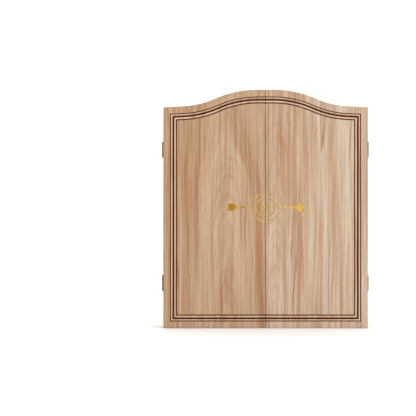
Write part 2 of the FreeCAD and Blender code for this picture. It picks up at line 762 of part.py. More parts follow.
def ring_clip():
    """One clip at the top of the board: a ribbed plate over the wire, a leg and a foot."""
    reach = NUMBER_WIRE_R + CLIP_CLEARANCE
    mid = BOARD_Z + NUMBER_RING_R
    width = (-CLIP_HALF_W, CLIP_HALF_W)
    top_y = (BOARD_FACE_Y - 2 * reach - CLIP_T, BOARD_FACE_Y - 2 * reach)
    leg_z = (mid + reach + 0.2, mid + reach + 0.2 + CLIP_T)
    parts = [box(width, top_y, (mid - CLIP_REACH, leg_z[1])),
             box(width, (top_y[0], BOARD_FACE_Y), leg_z),
             box(width, (BOARD_FACE_Y - CLIP_T, BOARD_FACE_Y), (leg_z[0], mid + CLIP_FOOT))]
    for x in CLIP_RIB_X:
        rib_y = (top_y[0] - CLIP_RIB_H, top_y[0])
        parts.append(box((x - CLIP_RIB_HALF, x + CLIP_RIB_HALF), rib_y, (mid - CLIP_REACH + 1, leg_z[1])))
    return fuse(parts)


def ring_clips():
    """The clips that hold the number ring to the face."""
    clips = []
    for deg in CLIP_DEG:
        clip = ring_clip()
        clip.rotate(V(0, 0, BOARD_Z), V(0, 1, 0), deg)
        clips.append(clip)
    return Part.makeCompound(clips)


# ---------------------------------------------------------------- darts

def turned(profile):
    """A solid of revolution about the z axis from (radius, height) points."""
    points = [V(r, 0, z) for r, z in profile]
    wire = Part.makePolygon(points + [points[0]])
    return Part.Face(wire).revolve(V(0, 0, 0), V(0, 0, 1), 360)


def dart_point():
    tip = DART_TIP_Z
    top = BARREL_LOW_Z + POINT_SEAT
    return turned([(0, tip), (POINT_R * 0.55, tip + 5), (POINT_R, tip + 9), (POINT_R, top), (0, top)])


def barrel_profile():
    """The barrel with a tapered nose and grip rings cut round its middle."""
    low = BARREL_LOW_Z
    high = STEM_LOW_Z
    points = [(0, low), (1.9, low), (2.6, low + 2.5), (BARREL_R, low + 9)]
    groove_r = BARREL_R - GRIP_CUT
    for i in range(GRIP_RINGS):
        z = low + 13 + i * GRIP_PITCH
        points += [(BARREL_R, z), (groove_r, z + 0.3), (groove_r, z + 0.9), (BARREL_R, z + 1.2)]
    points += [(BARREL_R, high - 3), (2.9, high), (0, high)]
    return points


def dart_barrel():
    barrel = turned(barrel_profile())
    seat = turned([(0, BARREL_LOW_Z - 1), (POINT_R, BARREL_LOW_Z - 1),
                   (POINT_R, BARREL_LOW_Z + POINT_SEAT), (0, BARREL_LOW_Z + POINT_SEAT)])
    thread = rod(STEM_THREAD_R, V(0, 0, STEM_LOW_Z - STEM_THREAD_L), V(0, 0, STEM_LOW_Z + 1))
    return barrel.cut(seat).cut(thread)


def flight_blank(spare):
    """Four fins in a cross, each with a sloping shoulder under the peak."""
    foot = V(0, 0, FLIGHT_LOW_Z)
    points = [foot] + [V(reach, 0, FLIGHT_LOW_Z + height) for reach, height in FIN_OUTLINE]
    face = Part.Face(Part.makePolygon(points + [foot]))
    thick = FLIGHT_T + 2 * spare
    fins = []
    for deg in FIN_DEG:
        fin = face.extrude(V(0, thick, 0))
        fin.translate(V(0, -thick / 2, 0))
        fin.rotate(V(0, 0, 0), V(0, 0, 1), deg)
        fins.append(fin)
    return fuse(fins)


def dart_stem():
    """The stem screws into the barrel and grips the flight in a cross slot."""
    low = STEM_LOW_Z
    body = turned([(0, low - STEM_THREAD_L), (STEM_THREAD_R, low - STEM_THREAD_L), (STEM_THREAD_R, low),
                   (STEM_COLLAR_R, low), (STEM_COLLAR_R, low + 3), (STEM_R, low + 5),
                   (STEM_R - 0.3, low + 14), (STEM_R, low + 22), (STEM_R, low + STEM_L), (0, low + STEM_L)])
    return body.cut(flight_blank(0.02))


def dart_flight():
    return flight_blank(0.0)


def save_darts():
    pieces = {"point": dart_point(), "barrel": dart_barrel(), "stem": dart_stem(), "flight": dart_flight()}
    places = [-x for x in reversed(DART_X)] + list(DART_X)
    for number, x in enumerate(places, start=1):
        for piece, shape in pieces.items():
            placed = shape.copy()
            placed.translate(V(x, DART_Y, 0))
            save(f"dart_{number}_{piece}", placed)


# ---------------------------------------------------------------- assembly

def both_sides(shapes):
    """A compound of right-hand solids and their mirror images."""
    return Part.makeCompound(list(shapes) + [mirrored(s) for s in shapes])


def save_case():
    side = case_side()
    save("right_side", side)
    save("left_side", mirrored(side))
    save("arch_top", arch_top())
    save("bottom_panel", bottom_panel())
    save("back_panel", back_panel())
    save("board_bracket", board_bracket())
    save("magnetic_catch", magnetic_catch())
    save("case_hinge_leaves", both_sides([hinge_leaf(z, False) for z in HINGE_Z]))
    save("hinge_pins", both_sides([hinge_pin(z) for z in HINGE_Z]))
    leaf_fixings = [s for z in HINGE_Z for s in slotted_leaf_screws(z, False)]
    fixings = bracket_screws() + catch_screws()
    save("case_screws", Part.makeCompound([both_sides(leaf_fixings)] + fixings))


def save_door(name, side):
    save(name + "_door_panel", door_panel(side))
    save(name + "_door_lines", door_lines(side))
    save(name + "_emblem", emblem_face(side))
    fitted = {
        "hinge_leaves": Part.makeCompound([hinge_leaf(z, True) for z in HINGE_Z]),
        "door_screws": Part.makeCompound(door_screws()),
        "strike_plate": strike_plate(),
        "scoreboard": scoreboard(),
        "scoreboard_frame": scoreboard_frame(),
        "dart_rack": dart_rack(),
    }
    for piece, shape in fitted.items():
        save(name + "_" + piece, right_room(side, shape))


def save_board():
    save("sisal_disc", sisal_disc())
    save("backing_board", backing_board())
    save("steel_band", ring(BOARD_R, BOARD_R - BAND_T, BOARD_FACE_Y, BOARD_BACK_Y))
    save("spider_wires", spider_wires())
    save("ring_clips", ring_clips())
    save("number_ring", number_ring())
    save("centre_screw", centre_screw())
    save("rubber_feet", rubber_feet())


def main():
    os.makedirs(OUT, exist_ok=True)
    save_case()
    save_door("right", 1)
    save_door("left", -1)
    save_board()
    save_darts()


main()
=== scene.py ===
import math

import bmesh
import bpy
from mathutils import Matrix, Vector


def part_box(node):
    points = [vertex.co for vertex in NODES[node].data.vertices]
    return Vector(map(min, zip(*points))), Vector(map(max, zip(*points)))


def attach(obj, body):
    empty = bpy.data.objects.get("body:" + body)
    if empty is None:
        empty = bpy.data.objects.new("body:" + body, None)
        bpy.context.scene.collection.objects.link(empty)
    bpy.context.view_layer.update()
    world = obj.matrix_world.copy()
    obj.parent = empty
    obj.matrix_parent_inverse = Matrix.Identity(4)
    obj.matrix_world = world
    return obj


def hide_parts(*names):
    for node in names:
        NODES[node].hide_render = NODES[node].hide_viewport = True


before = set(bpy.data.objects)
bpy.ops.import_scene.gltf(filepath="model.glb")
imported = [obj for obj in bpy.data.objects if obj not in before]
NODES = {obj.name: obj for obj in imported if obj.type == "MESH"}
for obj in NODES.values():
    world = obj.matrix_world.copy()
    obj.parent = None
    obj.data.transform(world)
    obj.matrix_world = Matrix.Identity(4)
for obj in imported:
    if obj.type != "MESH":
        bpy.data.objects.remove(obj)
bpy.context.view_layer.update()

# A dart board cabinet, closed: two arched doors over a round board, darts on the doors' backs.
# Metres, in the CAD frame: +X right, -Y front, +Z up, origin in the middle of the footprint.

MM = 0.001


# ---------------------------------------------------------------- places taken from the frame

DOOR_LOW, DOOR_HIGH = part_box("right_door_panel")
FRONT_Y = DOOR_LOW.y
HALF_GAP = DOOR_LOW.x
HALF_W = DOOR_HIGH.x
PEAK_Z = DOOR_HIGH.z
BOARD_LOW, BOARD_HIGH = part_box("sisal_disc")
BOARD_MID = (BOARD_LOW + BOARD_HIGH) / 2
BOARD_FACE_Y = BOARD_LOW.y


# ---------------------------------------------------------------- a short way to write materials

class Graph:
    """One procedural material. Sockets take either a number or colour, or another node's output."""

    def __init__(self, name, **constants):
        self.material = bpy.data.materials.new(name)
        self.material.use_nodes = True
        self.tree = self.material.node_tree
        self.shader = self.tree.nodes["Principled BSDF"]
        self.coords = self.node("TexCoord").outputs["Object"]
        for socket, value in constants.items():
            self.put(self.shader.inputs[socket.replace("_", " ")], value)

    def node(self, kind, **settings):
        made = self.tree.nodes.new("ShaderNode" + kind)
        for name, value in settings.items():
            setattr(made, name, value)
        return made

    def put(self, socket, value):
        if isinstance(value, bpy.types.NodeSocket):
            self.tree.links.new(value, socket)
        elif isinstance(value, tuple) and len(value) == 3 and socket.type == "RGBA":
            socket.default_value = (*value, 1.0)
        else:
            socket.default_value = value

    def shade(self, socket, value):
        self.put(self.shader.inputs[socket], value)

    def calc(self, operation, *values):
        made = self.node("Math", operation=operation)
        for socket, value in zip(made.inputs, values):
            self.put(socket, value)
        return made.outputs[0]

    def off(self, value, middle):
        """How far a value is from a middle, either way."""
        return self.calc("ABSOLUTE", self.calc("SUBTRACT", value, middle))

    def swayed(self, place, noise, reach):
        """A place moved to and fro by a noise, by up to half the reach."""
        return self.calc("MULTIPLY_ADD", self.calc("SUBTRACT", noise, 0.5), reach, place)

    def radius(self, a, b):
        """The distance from the origin of the point (a, b)."""
        return self.calc("SQRT", self.calc("ADD", self.calc("POWER", a, 2.0), self.calc("POWER", b, 2.0)))

    def axes(self, vector=None):
        made = self.node("SeparateXYZ")
        self.put(made.inputs[0], vector or self.coords)
        return made.outputs

    def vector(self, x, y, z):
        made = self.node("CombineXYZ")
        for socket, value in zip(made.inputs, (x, y, z)):
            self.put(socket, value)
        return made.outputs[0]

    def stretched(self, scales, vector, offset):
        made = self.node("Mapping")
        self.put(made.inputs["Vector"], vector)
        self.put(made.inputs["Scale"], scales)
        self.put(made.inputs["Location"], offset)
        return made.outputs[0]

    def noise(self, vector, scale=1.0, detail=3.0, rough=0.5, distortion=0.0):
        made = self.node("TexNoise")
        self.put(made.inputs["Vector"], vector)
        self.put(made.inputs["Scale"], scale)
        self.put(made.inputs["Detail"], detail)
        self.put(made.inputs["Roughness"], rough)
        self.put(made.inputs["Distortion"], distortion)
        return made.outputs["Fac"]

    def streaks(self, vector, scales, detail=2.0, rough=0.5, offset=(0, 0, 0), distortion=0.0):
        """Noise with a scale of its own along each axis."""
        return self.noise(self.stretched(scales, vector, offset), 1.0, detail, rough, distortion)

    def cells(self, vector, scale):
        """The random colour of each cell."""
        made = self.node("TexVoronoi")
        self.put(made.inputs["Vector"], vector)
        self.put(made.inputs["Scale"], scale)
        return made.outputs["Color"]

    def between(self, value, low, high, to_low=0.0, to_high=1.0):
        """A smooth step from one value to another as the input goes from low to high."""
        made = self.node("MapRange", interpolation_type="SMOOTHSTEP")
        for socket, number in zip(made.inputs, (value, low, high, to_low, to_high)):
            self.put(socket, number)
        return made.outputs[0]

    def ramp(self, value, stops, interpolation="LINEAR"):
        made = self.node("ValToRGB")
        made.color_ramp.interpolation = interpolation
        elements = made.color_ramp.elements
        while len(elements) < len(stops):
            elements.new(0.5)
        for element, (position, colour) in zip(elements, stops):
            element.position = position
            element.color = (*colour, 1.0)
        self.put(made.inputs[0], value)
        return made.outputs[0]

    def mix(self, factor, a, b, blend="MIX"):
        """Two colours mixed. The node has several sockets of one name, so its colours go by number."""
        made = self.node("Mix", data_type="RGBA", blend_type=blend)
        self.put(made.inputs["Factor"], factor)
        self.put(made.inputs[6], a)
        self.put(made.inputs[7], b)
        return made.outputs[2]

    def tinted(self, colour, shade):
        """A colour made darker or lighter by a shade, which is about 1."""
        return self.mix(1.0, colour, self.vector(shade, shade, shade), "MULTIPLY")

    def paint(self, colour, shade):
        self.shade("Base Color", self.tinted(colour, shade))

    def bump(self, height, strength, distance):
        made = self.node("Bump")
        self.put(made.inputs["Strength"], strength)
        self.put(made.inputs["Distance"], distance)
        self.put(made.inputs["Height"], height)
        self.shade("Normal", made.outputs[0])


def srgb(red, green, blue):
    """A colour as the eye reads it, 0 to 255, in the linear values that shaders take."""
    def linear(value):
        value /= 255
        return value / 12.92 if value <= 0.04045 else ((value + 0.055) / 1.055) ** 2.4
    return (linear(red), linear(green), linear(blue))


# ---------------------------------------------------------------- wood

# from the darkest streaks to the palest bands
WOOD_TONES = (srgb(164, 120, 82), srgb(180, 146, 113), srgb(191, 166, 138), srgb(202, 183, 161))
RINGS_PER_METRE = 165.0
TRUNK_LEAN = 0.13        # how fast the heart of the trunk leans away, for each metre along the grain
EDGE_SHIFT = 0.7         # how far the figure shifts across, for each metre into the board
STREAK_STRENGTH = 0.35
VEIN_STRENGTH = 0.8
RING_STRENGTH = 0.34


def trunk(g, across, run, heart, depth, seed):
    """Where a point lies in the trunk. The heart leans away behind the face, so rings show as arches."""
    swell = g.noise(g.vector(seed, run, 0.0), 5.0, 1.0)
    heart_depth = g.swayed(g.calc("MULTIPLY_ADD", run, TRUNK_LEAN, depth), swell, 0.03)
    off_heart = g.calc("SUBTRACT", across, heart)
    radius = g.radius(off_heart, heart_depth)
    side = g.calc("MULTIPLY", g.calc("SIGN", off_heart), 0.35)
    growth = g.vector(radius, g.calc("ADD", side, seed), g.calc("MULTIPLY", run, 0.12))
    return off_heart, radius, growth


def late_wood(g, off_heart, radius, growth):
    """The dark end of each year's ring, strong near the heart and in patches elsewhere."""
    uneven = g.streaks(growth, (50.0, 1.0, 1.0))
    rings = g.calc("MULTIPLY_ADD", radius, RINGS_PER_METRE, g.calc("MULTIPLY", uneven, 3.0))
    rings = g.calc("FRACT", rings)
    late = g.calc("SUBTRACT", g.between(rings, 0.35, 0.88), g.between(rings, 0.88, 1.0))
    strong = g.streaks(growth, (38.0, 1.0, 9.0), offset=(2.0, 0.0, 5.0))
    near = g.between(g.calc("ABSOLUTE", off_heart), 0.010, 0.034, 0.75, 0.0)
    return g.calc("MULTIPLY", late, g.calc("MAXIMUM", near, g.between(strong, 0.38, 0.66, 0.12, 0.9)))


def veins(g, grain):
    """A few long thin veins, which follow the edges of slow bands."""
    slow = g.streaks(grain, (24.0, 1.0, 1.1), offset=(0.0, 7.0, 0.0))
    seldom = g.streaks(grain, (30.0, 1.0, 3.0), 1.0, offset=(0.0, 11.0, 0.0))
    thin = g.between(g.off(slow, 0.5), 0.003, 0.014, 1.0, 0.0)
    return g.calc("MULTIPLY", thin, g.between(seldom, 0.44, 0.56))


def wood(name, along="z", heart=0.0, depth=0.05, tone=(1.0, 1.0, 1.0), figure=1.0, seed=0.0):
    """Clear-coated ash veneer: pale and warm bands, with growth lines straight or in tall arches."""
    g = Graph(name, Coat_Weight=0.2, Coat_Roughness=0.3)
    x, y, z = g.axes()
    across, run, level = {"x": (z, x, y), "z": (x, z, y)}[along]
    across = g.calc("MULTIPLY_ADD", level, EDGE_SHIFT, across)
    flat = g.vector(across, seed, run)
    across = g.swayed(across, g.streaks(flat, (5.0, 1.0, 2.4)), 0.016)
    across = g.swayed(across, g.streaks(flat, (60.0, 1.0, 14.0)), 0.003)
    off_heart, radius, growth = trunk(g, across, run, heart, depth, seed)
    grain = g.vector(across, seed, run)
    broad = g.streaks(growth, (26.0, 1.0, 9.0), 3.0, 0.6)
    medium = g.streaks(grain, (120.0, 1.0, 1.8), 4.0, 0.7)
    streak = g.streaks(grain, (190.0, 1.0, 4.2), offset=(0.0, 3.0, 0.0))
    fine = g.streaks(grain, (330.0, 1.0, 7.0), 4.0, 0.75)
    pores = g.streaks(grain, (1500.0, 1.0, 70.0))
    deep, warm, mid, pale = (tuple(a * b for a, b in zip(colour, tone)) for colour in WOOD_TONES)
    darker = tuple(0.8 * part for part in deep)
    value = g.calc("ADD", g.calc("MULTIPLY", broad, 0.46), g.calc("MULTIPLY", medium, 0.54))
    base = g.ramp(g.between(value, 0.34, 0.66), [(0.0, deep), (0.28, warm), (0.60, mid), (1.0, pale)])
    base = g.mix(g.calc("MULTIPLY", g.between(streak, 0.59, 0.66), STREAK_STRENGTH * figure), base, deep)
    base = g.mix(g.calc("MULTIPLY", veins(g, grain), VEIN_STRENGTH * figure), base, darker)
    late = late_wood(g, off_heart, radius, growth)
    base = g.mix(g.calc("MULTIPLY", late, RING_STRENGTH * figure), base, deep)
    fibre_shade = g.between(fine, 0.25, 0.75, 0.81, 1.17)
    pore_shade = g.between(pores, 0.57, 0.66, 1.0, 0.80)
    g.paint(base, g.calc("MULTIPLY", fibre_shade, pore_shade))
    g.shade("Roughness", g.between(fine, 0.2, 0.8, 0.37, 0.52))
    height = g.calc("SUBTRACT", g.calc("MULTIPLY", fine, 0.5), g.between(pores, 0.58, 0.74))
    g.bump(height, 0.22, 0.25 * MM)
    return g.material


def stained_wood(name, colour, run="z", gloss=0.4, shine=0.5, rails=None):
    """Stained wood. Beyond the heights in rails, a frame's level rails turn the grain along x."""
    g = Graph(name, Specular_IOR_Level=shine)
    x, y, z = g.axes()
    across, along = (z, x) if run == "x" else (x, z)
    if rails:
        low, high = rails
        level = g.calc("GREATER_THAN", g.off(z, (low + high) / 2), (high - low) / 2)
        upright = g.calc("SUBTRACT", 1.0, level)
        across = g.calc("ADD", g.calc("MULTIPLY", x, upright), g.calc("MULTIPLY", z, level))
        along = g.calc("ADD", g.calc("MULTIPLY", z, upright), g.calc("MULTIPLY", x, level))
    grain = g.vector(across, y, along)
    streaks = g.streaks(grain, (240.0, 240.0, 9.0), 4.0, 0.65)
    pores = g.streaks(grain, (1300.0, 1300.0, 60.0))
    streak_shade = g.between(streaks, 0.3, 0.7, 0.70, 1.24)
    pore_shade = g.between(pores, 0.58, 0.72, 1.0, 0.8)
    g.paint(colour, g.calc("MULTIPLY", streak_shade, pore_shade))
    g.shade("Roughness", g.between(streaks, 0.3, 0.7, gloss + 0.08, gloss - 0.04))
    g.bump(g.calc("SUBTRACT", streaks, pores), 0.2, 0.2 * MM)
    return g.material


def chipboard(name):
    """Pressed chips, pale and dark, in every direction."""
    g = Graph(name, Roughness=0.8)
    chip = g.axes(g.cells(g.coords, 420.0))[0]
    dust = g.noise(g.coords, 900.0, 3.0, 0.6)
    tones = [(0.0, srgb(120, 92, 62)), (0.5, srgb(158, 126, 90)), (1.0, srgb(192, 162, 122))]
    g.paint(g.ramp(chip, tones), g.between(dust, 0.3, 0.7, 0.86, 1.1))
    g.bump(g.calc("ADD", chip, dust), 0.3, 0.3 * MM)
    return g.material


def plywood_back(name):
    """Rotary-cut plywood with a plain straight face."""
    g = Graph(name)
    x, y, z = g.axes()
    across = g.swayed(x, g.streaks(g.coords, (4.0, 1.0, 1.6)), 0.05)
    grain = g.vector(across, y, z)
    broad = g.streaks(grain, (14.0, 1.0, 1.2), 3.0, 0.6)
    streaks = g.streaks(grain, (140.0, 1.0, 2.4), 4.0, 0.7)
    pores = g.streaks(grain, (1200.0, 1.0, 40.0))
    value = g.calc("ADD", g.calc("MULTIPLY", broad, 0.45), g.calc("MULTIPLY", streaks, 0.55))
    tones = [(0.0, srgb(166, 126, 88)), (0.5, srgb(190, 154, 116)), (1.0, srgb(206, 176, 142))]
    g.paint(g.ramp(g.between(value, 0.34, 0.66), tones), g.between(pores, 0.58, 0.74, 1.0, 0.84))
    g.shade("Roughness", g.between(streaks, 0.3, 0.7, 0.56, 0.7))
    g.bump(g.calc("SUBTRACT", streaks, pores), 0.25, 0.3 * MM)
    return g.material


# ---------------------------------------------------------------- metals, plastics, slate, film

PLASTIC_GRAIN = 900.0
RULE_HALF_W = 0.5 * MM
HEADING_SHARE = 0.12     # the part of a writing panel's height above the heading's line
# one fin from its foot up to its peak: distance from the dart's axis, height over the foot
FIN_OUTLINE = (
    (2.2 * MM, 0.0), (20 * MM, 15 * MM), (20 * MM, 28 * MM), (16.5 * MM, 34 * MM), (0.0, 40 * MM),
)
# the pale line, measured in from the fin's edge
RIM_FROM = 1.1 * MM
RIM_TO = 1.9 * MM


def metal(name, colour, worn, rough=0.3, scale=220.0, metallic=1.0, tooth=0.12):
    """Metal whose colour and polish vary in small patches, brighter where it is worn."""
    g = Graph(name, Metallic=metallic)
    patches = g.noise(g.coords, scale, 4.0, 0.6)
    fine = g.noise(g.coords, scale * 9, 2.0, 0.5)
    g.shade("Base Color", g.mix(g.between(patches, 0.34, 0.72), colour, worn))
    g.shade("Roughness", g.between(patches, 0.3, 0.7, rough - 0.06, rough + 0.1))
    g.bump(fine, tooth, 0.1 * MM)
    return g.material


def plastic(name, colour, rough=0.4, strength=0.15, shine=0.5, vary=0.13):
    """Moulded plastic, rubber or enamel, with a fine tooth."""
    g = Graph(name, Specular_IOR_Level=shine)
    texture = g.noise(g.coords, PLASTIC_GRAIN, 2.0, 0.5)
    g.paint(colour, g.between(texture, 0.3, 0.7, 1.0 - vary, 1.0 + vary))
    g.shade("Roughness", g.between(texture, 0.3, 0.7, rough - 0.05, rough + 0.08))
    g.bump(texture, strength, 0.1 * MM)
    return g.material


def catch_plastic(name):
    """Brown plastic, with steel on the pole faces that stand proud of its front."""
    g = Graph(name)
    _, y, _ = g.axes()
    front_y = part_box("magnetic_catch")[0].y
    pole = g.calc("LESS_THAN", y, front_y + 0.1 * MM)
    texture = g.noise(g.coords, PLASTIC_GRAIN, 2.0, 0.5)
    brown = g.tinted(srgb(66, 45, 32), g.between(texture, 0.3, 0.7, 0.86, 1.12))
    g.shade("Base Color", g.mix(pole, brown, srgb(166, 166, 168)))
    g.shade("Metallic", pole)
    g.shade("Roughness", g.between(texture, 0.3, 0.7, 0.34, 0.48))
    g.bump(texture, 0.15, 0.1 * MM)
    return g.material


def slate(name):
    """A chalk surface ruled into two columns under a heading, with the pale drift that a cloth leaves."""
    g = Graph(name, Roughness=0.78)
    low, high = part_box("right_scoreboard")
    x, _, z = g.axes()
    column = g.calc("LESS_THAN", g.off(g.calc("ABSOLUTE", x), (low.x + high.x) / 2), RULE_HALF_W)
    head_z = high.z - HEADING_SHARE * (high.z - low.z)
    heading = g.calc("LESS_THAN", g.off(z, head_z), RULE_HALF_W)
    rules = g.calc("MAXIMUM", column, heading)
    drift = g.streaks(g.coords, (9.0, 1.0, 15.0), 5.0, 0.62, distortion=1.2)
    wipe = g.streaks(g.coords, (4.0, 1.0, 70.0), 3.0, 0.6, distortion=0.6)
    dust = g.noise(g.coords, 1400.0, 2.0, 0.6)
    worn = g.noise(g.coords, 260.0, 3.0, 0.6)
    chalk = g.calc("MULTIPLY", g.between(drift, 0.42, 0.8), g.between(wipe, 0.3, 0.8, 0.35, 1.0))
    chalk = g.calc("MULTIPLY_ADD", g.between(dust, 0.55, 0.8), 0.05, g.calc("MULTIPLY", chalk, 0.22))
    paint = g.calc("MULTIPLY", rules, g.between(worn, 0.3, 0.6, 0.45, 0.8))
    g.shade("Base Color", g.mix(g.calc("MAXIMUM", chalk, paint), srgb(34, 38, 38), srgb(190, 192, 188)))
    g.bump(dust, 0.2, 0.2 * MM)
    return g.material


def gold(name):
    """Polished gold foil, warmer and paler in slow sweeps."""
    g = Graph(name, Metallic=1.0, Roughness=0.24)
    sweep = g.streaks(g.coords, (30.0, 1.0, 18.0))
    g.shade("Base Color", g.mix(g.between(sweep, 0.35, 0.65), srgb(168, 120, 40), srgb(226, 184, 92)))
    g.bump(g.noise(g.coords, 1800.0, 2.0, 0.5), 0.08, 0.1 * MM)
    return g.material


def inside_fin(g):
    """How far a point of a flight lies inside the outline of its fin."""
    low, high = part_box("dart_5_flight")
    middle = (low + high) / 2
    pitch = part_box("dart_6_flight")[0].x - low.x
    x, y, z = g.axes()
    from_middle = g.calc("SUBTRACT", g.calc("ABSOLUTE", x), middle.x)
    nearest = g.calc("SNAP", g.calc("ADD", from_middle, pitch / 2), pitch)
    reach = g.radius(g.calc("SUBTRACT", from_middle, nearest), g.calc("SUBTRACT", y, middle.y))
    height = g.calc("SUBTRACT", z, low.z)
    inside = 1.0
    for (r1, z1), (r2, z2) in zip(FIN_OUTLINE, FIN_OUTLINE[1:]):
        length = math.hypot(r2 - r1, z2 - z1)
        across, along = (z1 - z2) / length, (r2 - r1) / length
        shift = -(r1 * across + z1 * along)
        from_edge = g.calc("MULTIPLY_ADD", reach, across, g.calc("MULTIPLY_ADD", height, along, shift))
        inside = g.calc("MINIMUM", inside, from_edge)
    return inside


def flight_film(name, colour, flash):
    """Glossy film printed with torn silvery patches and a pale line round each fin."""
    g = Graph(name, Roughness=0.22, Coat_Weight=0.6, Coat_Roughness=0.12)
    patches = g.noise(g.coords, 95.0, 3.0, 0.62, 0.9)
    inside = inside_fin(g)
    field = g.calc("GREATER_THAN", inside, RIM_TO)
    rim = g.calc("SUBTRACT", g.calc("GREATER_THAN", inside, RIM_FROM), field)
    mask = g.calc("MAXIMUM", g.calc("MULTIPLY", g.between(patches, 0.55, 0.62), field), rim)
    edge = g.between(g.off(patches, 0.5), 0.0, 0.035, 1.0, 0.0)
    base = g.mix(mask, colour, flash)
    g.shade("Base Color", g.mix(g.calc("MULTIPLY", edge, 0.55), base, srgb(18, 14, 14)))
    g.shade("Metallic", g.calc("MULTIPLY", mask, 0.6))
    return g.material


# ---------------------------------------------------------------- the dyed board

DYES = {
    "khaki": srgb(140, 121, 94),
    "taupe": srgb(97, 84, 75),
    "plum": srgb(54, 38, 41),
    "oxblood": srgb(78, 45, 49),
    "greige": srgb(162, 151, 141),
    "white": srgb(193, 190, 184),
    "tan": srgb(144, 122, 96),
}
# clockwise from the top: (doubles and number ground, outer single and treble, inner single)
SECTORS = [
    ("khaki", "taupe", "khaki"), ("plum", "greige", "plum"), ("oxblood", "tan", "oxblood"),
    ("taupe", "plum", "taupe"), ("plum", "oxblood", "plum"), ("white", "taupe", "white"),
    ("taupe", "plum", "taupe"), ("greige", "white", "greige"), ("plum", "taupe", "plum"),
    ("white", "greige", "white"), ("taupe", "plum", "oxblood"), ("greige", "white", "greige"),
    ("khaki", "taupe", "khaki"), ("plum", "greige", "plum"), ("oxblood", "tan", "oxblood"),
    ("taupe", "plum", "white"), ("plum", "oxblood", "taupe"), ("white", "taupe", "white"),
    ("taupe", "plum", "taupe"), ("greige", "white", "greige"),
]
DOUBLE_R = (162 * MM, 170 * MM)
TREBLE_R = (99 * MM, 107 * MM)
OUTER_BULL_R = 15.9 * MM
BULL_R = 6.35 * MM


def sisal(name):
    """Compressed fibre ends, dyed in sectors and rings."""
    g = Graph(name, Roughness=0.95, Specular_IOR_Level=0.12)
    x, _, z = g.axes()
    up = g.calc("SUBTRACT", z, BOARD_MID.z)
    radius = g.radius(x, up)
    turn = g.calc("DIVIDE", g.calc("ARCTAN2", x, up), 2 * math.pi)
    count = len(SECTORS)
    around = g.calc("FRACT", g.calc("ADD", turn, 1 + 0.5 / count))
    sector = g.calc("FLOOR", g.calc("MULTIPLY", around, count))
    # the ramp is read at the middle of each sector, because its own edges are coarse
    place = g.calc("DIVIDE", g.calc("ADD", sector, 0.5), count)

    def dyed(ring):
        stops = [(i / count, DYES[dyes[ring]]) for i, dyes in enumerate(SECTORS)]
        return g.ramp(place, stops, "CONSTANT")

    colour = g.mix(g.calc("LESS_THAN", radius, DOUBLE_R[0]), dyed(0), dyed(1))
    colour = g.mix(g.calc("LESS_THAN", radius, TREBLE_R[0]), colour, dyed(2))
    colour = g.mix(g.calc("LESS_THAN", radius, OUTER_BULL_R), colour, DYES["white"])
    colour = g.mix(g.calc("LESS_THAN", radius, BULL_R), colour, DYES["plum"])
    fibres = g.noise(g.coords, 1300.0, 3.0, 0.7)
    clumps = g.noise(g.coords, 160.0, 4.0, 0.6)
    fibre_shade = g.between(fibres, 0.25, 0.75, 0.80, 1.16)
    clump_shade = g.between(clumps, 0.3, 0.7, 0.93, 1.05)
    g.paint(colour, g.calc("MULTIPLY", fibre_shade, clump_shade))
    g.bump(g.calc("MULTIPLY_ADD", clumps, 0.5, fibres), 0.45, 0.4 * MM)
    return g.material


# ---------------------------------------------------------------- making pieces

SHARP_ANGLE = math.radians(35)
BEND_STEPS = 6
WIRE_ROUNDNESS = 6


def dress(node, material):
    """Gives a CAD node its material."""
    slots = NODES[node].data.materials
    slots.clear()
    slots.append(material)


def soften(node, width):
    """Breaks a CAD node's sharp edges, as sanding or stamping does."""
    bevel = NODES[node].modifiers.new("broken_edges", "BEVEL")
    bevel.width = width
    bevel.segments = 2
    bevel.limit_method = "ANGLE"
    bevel.angle_limit = SHARP_ANGLE


def smooth(node):
    """Shades a CAD node's round faces smooth and keeps its sharp edges sharp."""
    mesh = NODES[node].data
    mesh.shade_smooth()
    mesh.set_sharp_from_angle(angle=SHARP_ANGLE)


def add(name, data, body, slot, material, *replaced):
    """Puts a new piece in the scene, on its body, with its material. The slot argument is not used."""
    piece = bpy.data.objects.new(name, data)
    bpy.context.scene.collection.objects.link(piece)
    data.materials.append(material)
    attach(piece, body)
    if replaced:
        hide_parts(*replaced)


def clean(mesh):
    """Merges points that lie on each other and turns every face outwards."""
    work = bmesh.new()
    work.from_mesh(mesh)
    bmesh.ops.remove_doubles(work, verts=work.verts, dist=0.001 * MM)
    bmesh.ops.recalc_face_normals(work, faces=work.faces)
    work.to_mesh(mesh)
    work.free()


def wire_curve(name, radius):
    """An empty curve for round wire of one thickness."""
    curve = bpy.data.curves.new(name, "CURVE")
    curve.dimensions = "3D"
    curve.bevel_depth = radius
    curve.bevel_resolution = WIRE_ROUNDNESS
    curve.use_fill_caps = True
    return curve


def add_line(curve, points, closed=False, rounded=False):
    """A spline through the points: straight runs, or a smooth bend through every point."""
    spline = curve.splines.new("BEZIER")
    spline.bezier_points.add(len(points) - 1)
    for bezier, point in zip(spline.bezier_points, points):
        bezier.co = point
        kind = "AUTO" if rounded else "VECTOR"
        bezier.handle_left_type = kind
        bezier.handle_right_type = kind
    spline.use_cyclic_u = closed
    spline.resolution_u = 8 if rounded else 1


def bend_corners(points, reach):
    """Bends each corner of a wire over a short reach, as no wire turns on a point."""
    bent = [points[0]]
    for before, corner, after in zip(points, points[1:], points[2:]):
        start = corner + (before - corner).normalized() * reach
        end = corner + (after - corner).normalized() * reach
        for i in range(BEND_STEPS + 1):
            part = i / BEND_STEPS
            bent.append(start.lerp(corner, part).lerp(corner.lerp(end, part), part))
    return bent + [points[-1]]


def on_board(radius, turn, y):
    """A point on the board's face: radius from its middle, turned clockwise from the top."""
    return Vector((radius * math.sin(turn), y, BOARD_MID.z + radius * math.cos(turn)))


